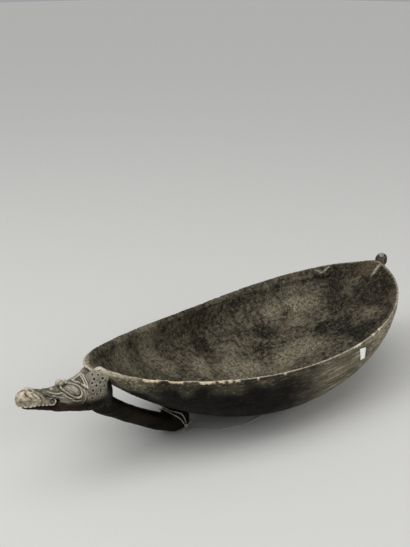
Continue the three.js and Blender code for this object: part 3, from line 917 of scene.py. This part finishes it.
# Beads have a positive rise and grooves a negative one. They lie on one side and are mirrored to the other.
face_lines = knife_work([
    # Snout: the groove that runs from under the nostril to the cheek, and the lines beside it
    (-1.7, 1.0, [(-466, 4, 166.8), (-462.4, 5.4, 164.4), (-458, 9.1, 160.3), (-452.8, 13.6, 154.8),
                 (-444.7, 15.7, 150.3), (-439.5, 17.8, 146.9)]),
    (-1.3, 1.5, [(-464, 4.6, 165.7), (-461, 6.3, 163.6)]),
    (-1.2, 0.8, [(-450.2, 2.6, 159.4), (-445.2, 5.8, 157), (-440.1, 8, 154.9), (-429.4, 10.6, 152.9)]),
    (-1.2, 0.8, [(-452, 8, 158.4), (-446.2, 10.9, 155), (-438, 14.3, 150.8), (-429.4, 17.7, 146.9)]),
    (-1.0, 0.8, [(-440.2, 16.1, 149.3), (-435, 17.8, 147), (-430.7, 19.3, 144.2)]),
    (-0.9, 0.8, [(-463.7, 11.7, 161.4), (-454.2, 15.4, 153)]),
    (1.2, 1.1, [(-448, 6.8, 157.2), (-442, 10.5, 154.4), (-434, 13, 151.5), (-428, 13.5, 150.9)]),
    (1.2, 1.1, [(-444, 13.6, 152.3), (-437, 16, 149.1), (-429.5, 18.4, 145.2)]),
    # Folds of the upper lip, down and back from the nostril
    (1.3, 1.4, [(-481.2, 8.7, 167.4), (-478.2, 14.2, 162), (-476.5, 16, 158)]),
    (-1.1, 1.0, [(-478.5, 9.5, 167), (-475.8, 13.2, 163.2), (-473.5, 15.8, 158.6)]),
    (1.3, 1.4, [(-473.9, 12.7, 163.9), (-469.6, 15.4, 159), (-467.8, 17.1, 154.2)]),
    (-1.1, 1.0, [(-470.5, 11.5, 164), (-466.8, 14.6, 159.5), (-464.3, 16.6, 154.7)]),
    (0.9, 1.2, [(-467.5, 10.5, 164.1), (-463.5, 13.8, 159), (-461, 16, 154.3)]),
    (-1.0, 0.9, front_fold),
    # The line round the snout's end
    (-0.7, 0.9, [(-495.2, 1.5, 155.6), (-493.8, 7, 157.1), (-490, 12, 158), (-486.3, 14.6, 157.7),
                 (-481, 16, 156.6), (-476, 16.9, 154.5)]),
    # Corner of the mouth
    (-3.2, 2.1, [(-439.6, 18.9, 144.1), (-437.6, 19.1, 144.2)]),
    # Nested borders under and behind the eye
    (1.2, 1.0, [(-427, 13.5, 152.5), (-423.2, 19.1, 145.7), (-420.1, 20.9, 142.1), (-408.7, 22.7, 138.1),
                (-399, 23.3, 137.2)]),
    (-1.0, 0.8, [(-423.5, 20.2, 142.8), (-418.2, 21.9, 139.6), (-408.8, 23, 136.6), (-398, 23.4, 135.6)]),
    (1.8, 0.9, [(-415.4, 22.2, 138.2), (-409, 23, 135.2), (-401.1, 23.3, 134.2)]),
    (1.7, 1.0, [(-401.5, 9.9, 154.8), (-397, 16.8, 150.6), (-392.7, 21.4, 144),
                (-391.6, 22.9, 138.4), (-393.8, 23.3, 132.6), (-399.6, 22.8, 127.9)]),
    (-1.6, 0.8, [(-390.8, 21.6, 143.8), (-390.1, 23, 137.2), (-391.6, 23.2, 131), (-397, 22.4, 125.7)]),
    (1.5, 0.9, [(-388.9, 21.5, 143.5), (-388.5, 23, 136.1), (-389.4, 22.9, 129.4), (-391.4, 22.4, 126.8)]),
    # The small bump ahead of the brow
    (2.6, 1.9, [(-438, 0, 156.4), (-437.6, 0.4, 156.4)]),
])
mouth_route = metres([
    (-492.8, 0, 146.3), (-492, 6, 146.6), (-489.7, 11.6, 147.3), (-483.5, 14.8, 146.3),
    (-474.4, 16.4, 145.6), (-467.2, 16.9, 143.7), (-459.5, 17.2, 141.4), (-449, 18, 138.6),
    (-444.2, 18.8, 139.6), (-441.8, 19.1, 142.5), (-438.6, 19, 144.1),
])
# Height of the lower jaw's upper edge along the head
jaw_edge = [
    (-0.496, 0.1463), (-0.4897, 0.1473), (-0.4835, 0.1463), (-0.4744, 0.1456), (-0.4672, 0.1437),
    (-0.4595, 0.1414), (-0.449, 0.1386), (-0.4442, 0.1396), (-0.4386, 0.1430), (-0.430, 0.139),
    (-0.420, 0.1325), (-0.408, 0.1270), (-0.395, 0.1215), (-0.386, 0.1180),
]
jaw_step = 0.0011
mouth_depth = 0.0026
mouth_width = 0.0011
tooth_pitch = 0.0064
tooth_rise = 0.0016
tooth_row = 0.0026
tooth_half_height = 0.0014
lip_curl = Vector((-0.4478, 0.0180, 0.1462))
lip_curl_radius = 0.0050
nostril = Vector((-0.4752, 0.0050, 0.1686))
nostril_radius = 0.0042
eye_centre = Vector((-0.4116, 0.0152, 0.1521))
eye_along = Vector((0.703, 0.579, -0.419)).normalized()
eye_across = Vector((-0.713, 0.545, -0.432)).normalized()
eye_half = (0.01375, 0.0077)
# The far side is carved a little unevenly: noise read at three places sways it along each way
far_shifts = (Vector((0, 0, 0)), Vector((5.3, 0, 0)), Vector((0, 5.3, 0)))
far_sway = 0.0007
eye_plate = 0.0020
eye_lens = 0.0006
# Rings round the eye: the rise, how far out as a share of the eye's size, and how wide
eye_rings = ((0.0020, 1.19, 0.085), (-0.0018, 1.01, 0.06), (-0.0012, 1.40, 0.08))
# Knife pricks in the eye: the depth, where along and across it, and how wide
eye_pricks = ((0.0012, -0.72, -0.1, 0.1), (0.0014, 0.74, 0.0, 0.11), (0.0007, -0.45, 0.3, 0.1))


def edge_height(table, x):
    for (x0, z0), (x1, z1) in zip(table, table[1:]):
        if x <= x1:
            return mix(z0, z1, min(max((x - x0) / (x1 - x0), 0.0), 1.0))
    return table[-1][1]


def eye_height(point):
    """An eye's raised oval and the carving on it. Also how far out from its middle the point is."""
    offset = point - eye_centre
    if offset.length >= 0.024:
        return 0.0, 0.0, 9.0
    along = offset.dot(eye_along) / eye_half[0]
    across = offset.dot(eye_across) / eye_half[1]
    out = math.hypot(along, across)
    plate = eye_plate * (1 - ease(1.16, 1.46, out))
    height = eye_lens * max(1 - out ** 2, 0.0) ** 0.6
    height += sum(rise * bell(out - place, width) for rise, place, width in eye_rings)
    for depth, prick_along, prick_across, width in eye_pricks:
        height -= depth * bell(math.hypot(along - prick_along, across - prick_across), width)
    scratches = math.sin((along * 0.8 + across * 0.5) * 34) * (1 - ease(0.6, 0.9, out))
    return plate, height + 0.00022 * scratches, out


def mouth_height(side, above, free):
    """The slit of the mouth and the row of teeth over it."""
    apart, walked = route_distance(side, mouth_route)
    height = -mouth_depth * bell(apart, mouth_width)
    if above > 0 and apart < 0.009:
        tooth = 0.15 + 0.5 * math.cos(walked / tooth_pitch * math.tau)
        height += tooth_rise * bell(apart - tooth_row, tooth_half_height) * tooth * free
    return height


def lip_curl_height(side):
    """A ring where the lip curls up at the corner of the mouth, open towards the snout."""
    apart = (side - lip_curl).length
    ring = 0.0014 * bell(apart - lip_curl_radius, 0.0010) - 0.0012 * bell(apart - 0.0033, 0.0008)
    return ring * ease(-0.0045, -0.001, side.x - lip_curl.x) + 0.0006 * bell(apart, 0.0014)


def nostril_height(side):
    """A hole inside a curled ring."""
    apart = (side - nostril).length
    return 0.0019 * bell(apart - nostril_radius, 0.0012) - 0.0030 * bell(apart, 0.0022)


def head_relief(turn, share, co):
    side = mirrored(co)
    if co.y > 0:
        side += Vector([noise.noise(co / 0.02 + shift) for shift in far_shifts]) * far_sway
    plate, height, out = eye_height(side)
    if co.y > 0:
        # The far eye is flat at its front, where it would show past the brow
        raised_part = ease(-0.427, -0.412, co.x)
        plate *= raised_part
        height *= raised_part
    free = ease(1.24, 1.40, out)
    above = side.z - edge_height(jaw_edge, side.x)
    jaw = ease(0.0004, -0.0008, above) * ease(-0.384, -0.400, side.x)
    height += free * carve(side, face_lines) - jaw_step * jaw * ease(-0.436, -0.446, side.x)
    height += mouth_height(side, above, free) + lip_curl_height(side) + nostril_height(side)
    rough = noise.noise(co / 0.010) * 0.0004 + noise.noise(co / 0.0032) * 0.00025
    on_snout = ease(-0.445, -0.470, co.x + 0.9 * (co.z - 0.146)) * (1 - jaw)
    stain = ease(0.1, 0.4, noise.noise(co / 0.005) + 0.5)
    return height + plate + rough, dusty_masks(
        hollow=ease(-0.0002, -0.0013, height),
        raised=ease(0.0001, 0.0011, height + rough),
        snout=on_snout * (0.3 + 0.7 * ease(-0.0004, 0.0006, height + rough)),
        jaw=jaw,
        # Painted shade low on the head towards the neck
        shaded=ease(0.141, 0.124, co.z) * ease(-0.45, -0.41, co.x),
        band=stain * bell(route_distance(side, stained_route)[0], 0.0015),
    )


# The brow: a ball, and a ringed boss behind it, each with its centre and its half sizes
brow_ball = (Vector((-0.4222, 0, 0.1603)), Vector((0.0062, 0.0068, 0.0064)))
brow_boss = (Vector((-0.4132, 0, 0.1590)), Vector((0.0044, 0.0054, 0.0044)))
brow_ring = 0.62
brow_ring_depth = 0.0007


def on_ball(turn, share):
    """A point on a ball of radius 1, from its bottom at share 0 to its top at share 1."""
    tilt, angle = (share - 0.5) * math.pi, turn * math.tau
    return Vector((math.cos(tilt) * math.cos(angle), math.cos(tilt) * math.sin(angle), math.sin(tilt)))


def ball_place(centre, size):
    return lambda turn, share: centre + on_ball(turn, share) * size


def brow_relief(turn, share, co):
    side = abs(math.sin(turn * math.tau)) * math.sin(share * math.pi)
    ring = bell(side - brow_ring, 0.09)
    rough = noise.noise(co / 0.006) * 0.0004
    # The top of the ball is paler: painted highlight
    return rough - brow_ring_depth * ring, dusty_masks(hollow=ring * 0.8, raised=ease(0.35, 0.75, share))


# The crest: two panels that meet in a ridge over the joint of head and neck, each with a raised edge
crest_apex = Vector((-0.3835, 0, 0.1634))
crest_front = Vector((-0.4022, 0, 0.1577))
crest_foot = Vector((-0.3862, 0.0226, 0.1449))
crest_bulge = Vector((-0.3798, 0.0105, 0.1575))
crest_thickness = 0.005
crest_rise = 0.0030
crest_cells = 48
crest_pit = Vector((-0.3923, 0.0074, 0.1552))
crest_marks = knife_work([
    (-1.5, 1.0, [(-393, 3.2, 158.3), (-390, 4.6, 158.3)]),
    (-1.0, 0.8, [(-396.5, 4, 156.9), (-393.5, 6.2, 155.8)]),
])


def crest_relief(left, right, low, point):
    """The carving of a panel, from how far a point is from the panel's left, right and lower edges."""
    height = -0.0008 * (1 - ease(0, 0.0010, min(left, right, low)))
    height -= 0.0026 * ease(0.0022, 0.0032, min(left, low)) * ease(0.0066, 0.0078, right)
    height -= 0.0022 * bell(right - 0.0034, 0.0009) * ease(0.0018, 0.004, min(left, low))
    pit = (point - crest_pit).length
    height += 0.0020 * bell(pit - 0.0026, 0.0008) - 0.0016 * bell(pit, 0.0013)
    return height + carve(point, crest_marks)


def crest_panel(name, side):
    mesh = bmesh.new()
    bmesh.ops.create_grid(mesh, x_segments=crest_cells, y_segments=crest_cells, size=0.5)
    layers = {mask: mesh.verts.layers.float.new(mask) for mask in dusty_mask_names}
    ridge = crest_front - crest_apex
    normal = (crest_foot - crest_apex).cross(ridge).normalized()
    for vert in mesh.verts:
        across, down = vert.co.x + 0.5, vert.co.y + 0.5
        left = mix(crest_apex, crest_front, down)
        right = mix(mix(crest_apex, crest_bulge, down), mix(crest_bulge, crest_foot, down), down)
        point, width = mix(left, right, across), (right - left).length
        height = crest_relief(across * width, (1 - across) * width, (1 - down) * ridge.length, point)
        vert[layers["hollow"]] = ease(-0.0016, -0.0030, height) * 0.2
        vert[layers["raised"]] = ease(-0.0016, -0.0003, height)
        vert.co = point + normal * (height + crest_rise)
        vert.co.y *= side
    bmesh.ops.remove_doubles(mesh, verts=mesh.verts, dist=1e-5)
    if sum(face.normal.z for face in mesh.faces) < 0:
        bmesh.ops.reverse_faces(mesh, faces=mesh.faces)
    bmesh.ops.solidify(mesh, geom=mesh.faces[:], thickness=crest_thickness)
    bmesh.ops.recalc_face_normals(mesh, faces=mesh.faces)
    return finish_piece(name, mesh)


head = skin("carved_head", 250, 230, head_place, head_relief)
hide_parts("crocodile_head")
knob = skin("brow_knob", 48, 28, ball_place(*brow_ball), brow_relief)
boss = skin("brow_boss", 40, 24, ball_place(*brow_boss), brow_relief)
near_crest = crest_panel("crest_near", -1)
far_crest = crest_panel("crest_far", 1)
for piece in (head, knob, boss, near_crest, far_crest):
    piece.data.materials.append(dusty_wood)


# Tail lug
# A round knob left on the rim's far tip when the log is cut away, with a ring carved in each side and a
# small spur. Its edges are worn bright, its top is painted highlight, and the rest is painted shade.
lug_radius = 0.0112
lug_tallness = 1.28
lug_centre = Vector((half_length + 0.0152, 0, rim_end_height + 0.0020))
lug_root = Vector((-0.006, 0, -0.004))
lug_spur = Vector((0.9, -0.25, 0.35)).normalized()
lug_spur_rise = 0.0028
# Shares of the knob's radius at which the ring's groove, its bead and the bead's bright edge lie
lug_groove = 0.38
lug_bead = 0.62
lug_bright = 0.66


def lug_place(turn, share):
    ball = on_ball(turn, share).xzy
    point = lug_centre + ball * (lug_radius + lug_spur_rise * bell((ball - lug_spur).length, 0.35))
    point.z += ball.z * lug_radius * (lug_tallness - 1)
    return point + lug_root * ease(0.0, 1.0, -0.7 * (ball.x + ball.z))


def lug_relief(turn, share, co):
    offset = (co - lug_centre) / lug_radius
    out = math.hypot(offset.x, offset.z)
    side = ease(0.2, 0.6, abs(offset.y))
    groove = bell(out - lug_groove, 0.12) * side
    bead = bell(out - lug_bead, 0.12) * side
    bright_ring = bell(out - lug_bright, 0.10) * side
    rough = noise.noise(co / 0.006) * 0.0006 + noise.noise(co / 0.0025) * 0.0003
    # The crown is painted highlight; the rest of the knob gets painted shade
    crown = ease(0.95, 1.25, offset.z - 0.3 * offset.x - 0.2 * offset.y + 500 * rough)
    spur = bell((offset.normalized() - lug_spur).length, 0.2)
    return 0.0006 * bead - 0.0009 * groove + rough, dusty_masks(
        hollow=0.7 * groove,
        raised=max(0.6 * bright_ring, crown, spur),
        jaw=0.4,
        shaded=0.45 * (1 - crown),
    )


lug = skin("carved_tail_lug", 72, 48, lug_place, lug_relief)
lug.data.materials.append(dusty_wood)
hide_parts("tail_lug")


# Sticker
# A small blank slip of white paper, glued to the outer wall under the rim near the tail. Its lower corner
# towards the head has lifted a little.
sticker_thickness = 0.00018
sticker_gap = 0.0008
sticker_lift = 0.0006
sticker_ripple = 0.0001
# Its corners as (x, z): top towards the head, top towards the tail, and the same below
sticker_corners = [Vector(corner) for corner in (
    (0.0850, 0.1147), (0.1040, 0.1119), (0.0890, 0.0922), (0.1040, 0.0909),
)]


def hull_side(form, x, z):
    """Half the hull's width at a height, for what is stuck on its wall."""
    top = rim_height(x) - lip_round
    depth = min(max((top - z) / (top - keel_height(form, x)), 0.0), 1.0)
    return plan_half_width(form, x) * (1 - depth ** (1 / section_depth_share)) ** (1 / section_power)


def sticker():
    mesh = bmesh.new()
    bmesh.ops.create_grid(mesh, x_segments=20, y_segments=24, size=0.5)
    top_left, top_right, low_left, low_right = sticker_corners
    for vert in mesh.verts:
        across, down = vert.co.x + 0.5, 0.5 - vert.co.y
        x, z = mix(mix(top_left, top_right, across), mix(low_left, low_right, across), down)
        off_wall = sticker_gap + sticker_lift * ease(0.6, 1.0, (1 - across + down) / 2)
        off_wall += sticker_ripple * math.sin(across * 9) * math.sin(down * 7)
        vert.co = Vector((x, -hull_side(outer_form, x, z) - off_wall, z))
    bmesh.ops.recalc_face_normals(mesh, faces=mesh.faces)
    bmesh.ops.solidify(mesh, geom=mesh.faces[:], thickness=sticker_thickness)
    return finish_piece("blank_sticker", mesh)


white_paper = (250, 249, 244)
paper_stains = (222, 218, 207)


def sticker_finish():
    finish = Finish("old_white_paper")
    finish.layer(white_paper)
    finish.layer(paper_stains, finish.between(finish.noise(0.008, 4), 0.5, 0.7, 0, 0.6))
    finish.bump(finish.noise(0.0009, 3), 0.0001)
    return finish.done(0.85)


paper = sticker()
paper.data.materials.append(sticker_finish())
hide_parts("paper_label")


# Twine
# One piece of two-ply cotton string, as carriers tie round such a bar: two turns round the foot, a knot with
# a short end, and a slack loop that lies on the floor, passes under the hull and comes back to the foot.
twine_diameter = 0.0018
twine_lay = 0.0055
ply_groove = 0.26
twine_step = 0.0011
twine_sides = 10
knot_centre = Vector((-0.188, -0.0215, 0.012))
knot_radius = 0.0027
knot_strands = 0.16
turn_route = [
    (-187.9, -21.2, 16), (-189, -20.4, 21.5), (-193, -20.6, 30), (-199.5, -20.9, 38), (-208, -20, 43),
    (-212.6, -12, 44.2), (-213, 0, 44.2), (-212.6, 12, 44.2), (-208, 20, 43), (-201, 21, 33),
    (-191, 20.9, 20), (-180, 20.6, 14), (-170.8, 17, 12.5), (-169.8, 6, 12.2), (-169.8, -6, 12.2),
    (-170.8, -17, 12.4), (-177, -20.6, 12.6), (-184, -21.3, 12.3),
]
return_route = [
    (-190, 21.2, 3.4), (-195, 20.9, 9), (-201, 21, 20), (-207.5, 21, 32), (-213.2, 17, 38.4),
    (-214, 8, 40.6), (-214, 0, 40.9), (-214, -8, 40.6), (-212.5, -17, 39), (-206.5, -21, 34),
    (-199, -20.9, 26.5), (-193.6, -20.9, 18.5), (-191, -21.4, 14.4),
]
loop_route = [
    (-186.8, -22, 8.3), (-185, -22.6, 4.6), (-180.5, -22.5, 1.8), (-173, -20.5, 1.2), (-164, -30, 1.2),
    (-147, -53, 1.2), (-125, -65, 1.2), (-98, -74, 1.2), (-72, -73, 1.2), (-47, -70, 1.2), (-33, -62, 1.2),
    (-34, -51, 1.2), (-50, -42, 1.2), (-72, -30, 1.2), (-97, -12, 1.2), (-122, 8, 1.2), (-146, 22, 1.2),
    (-168, 25, 1.2), (-181, 23.5, 1.4), (-187.6, 22.3, 2.2),
]
end_route = [(-191.6, -21.8, 10.7), (-195, -22.6, 8.6), (-199.5, -25.5, 7), (-205, -26, 6.4)]


def laid_out(route):
    """Points a step apart on a smooth curve through a route given in millimetres."""
    points = metres(route)
    padded = [points[0] * 2 - points[1]] + points + [points[-1] * 2 - points[-2]]
    smooth = []
    for before, start, end, after in zip(padded, padded[1:], padded[2:], padded[3:]):
        pieces = max(2, round((end - start).length / twine_step))
        for index in range(pieces):
            smooth.append(curve_point(before, start, end, after, index / pieces))
    return smooth + [points[-1]]


def route_length(points):
    return sum((end - start).length for start, end in zip(points, points[1:]))


def twine(name, points):
    """Two plies twisted together along points."""
    last = len(points) - 1
    side = Vector((0, 0, 1))
    sides = []
    for index in range(last + 1):
        ahead = points[min(index + 1, last)] - points[max(index - 1, 0)]
        side = (side - ahead * side.dot(ahead) / ahead.length_squared).normalized()
        sides.append((side, ahead.normalized().cross(side)))
    walked = [0.0]
    for start, end in zip(points, points[1:]):
        walked.append(walked[-1] + (end - start).length)

    def place(turn, share):
        index = min(round(share * last), last)
        if index in (0, last):
            return points[index]
        angle = turn * math.tau
        ply = abs(math.cos(angle - walked[index] / twine_lay * math.pi))
        out = twine_diameter / 2 * (1 - ply_groove + ply_groove * ply)
        across, up = sides[index]
        return points[index] + (across * math.cos(angle) + up * math.sin(angle)) * out

    return skin(name, twine_sides, last, place)


def knot_place(turn, share):
    """An overhand knot: a short bundle with the strands lying across it."""
    strand = abs(math.sin((turn * 3 + (share - 0.5) * 2.2) * math.pi))
    return knot_centre + on_ball(turn, share) * knot_radius * (1 + knot_strands * strand)


old_cotton = (186, 181, 167)
cotton_dirt = (138, 130, 112)


def twine_finish():
    finish = Finish("cotton_twine")
    finish.layer(old_cotton)
    finish.layer(cotton_dirt, finish.between(finish.noise(0.02, 4), 0.45, 0.68, 0, 0.7))
    finish.bump(finish.noise(0.0006, 3), 0.0002)
    return finish.done(0.9)


cotton = twine_finish()
loop_points = laid_out(loop_route)
first_turn = twine("twine_first_turn", laid_out(turn_route))
second_turn = twine("twine_second_turn", laid_out(return_route))
loop = twine("twine_slack_loop", loop_points)
short_end = twine("twine_short_end", laid_out(end_route))
knot = skin("twine_knot", 36, 24, knot_place)
for piece, node in (
    (first_turn, "cord_turn"),
    (second_turn, "cord_return"),
    (loop, "hanging_cord"),
    (short_end, "cord_tail"),
    (knot, "cord_knot"),
):
    piece.data.materials.append(cotton)
    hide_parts(node)
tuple(loop_points[0])
route_length(loop_points)


# Floor and light
# A plain pale floor stands in for the table. Two soft lamps, a broad dim sun and a pale sky light the bowl
# evenly, so that the dark wood shows its own tones.
floor_size = 40
floor_tone = (214, 213, 209)
bowl_middle = Vector((0, 0, 0.1))
sun_direction = Vector((0.30, 0.10, -1))
sun_spread = math.radians(60)
sun_strength = 1.0
sky_tone = (0.95, 0.97, 1.0, 1)
sky_strength = 0.36

floor_mesh = bmesh.new()
bmesh.ops.create_grid(floor_mesh, x_segments=1, y_segments=1, size=floor_size / 2)
floor_data = bpy.data.meshes.new("floor")
floor_mesh.to_mesh(floor_data)
floor_mesh.free()
floor = add_object("floor", floor_data)
floor_finish = Finish("pale_floor")
floor_finish.layer(floor_tone)
floor.data.materials.append(floor_finish.done(0.9))


def lamp(name, place, size, power):
    """A soft lamp that looks at the bowl's middle."""
    data = bpy.data.lights.new(name, "AREA")
    data.shape = "RECTANGLE"
    data.size, data.size_y = size
    data.energy = power
    light = add_object(name, data)
    light.location = place
    light.rotation_euler = facing(bowl_middle - Vector(place))


lamp("key_lamp", place=(-2.2, 0.6, 2.2), size=(1.8, 1.8), power=34)
lamp("front_lamp", place=(0.6, -2.6, 1.5), size=(2.0, 1.4), power=20)
sun_data = bpy.data.lights.new("sky_lamp", "SUN")
sun_data.energy = sun_strength
sun_data.angle = sun_spread
sun = add_object("sky_lamp", sun_data)
sun.rotation_euler = facing(sun_direction)
world = bpy.data.worlds.new("studio")
world.use_nodes = True
sky = world.node_tree.nodes["Background"]
sky.inputs["Color"].default_value = sky_tone
sky.inputs["Strength"].default_value = sky_strength
bpy.context.scene.world = world
bpy.context.scene.view_settings.view_transform = "Standard"
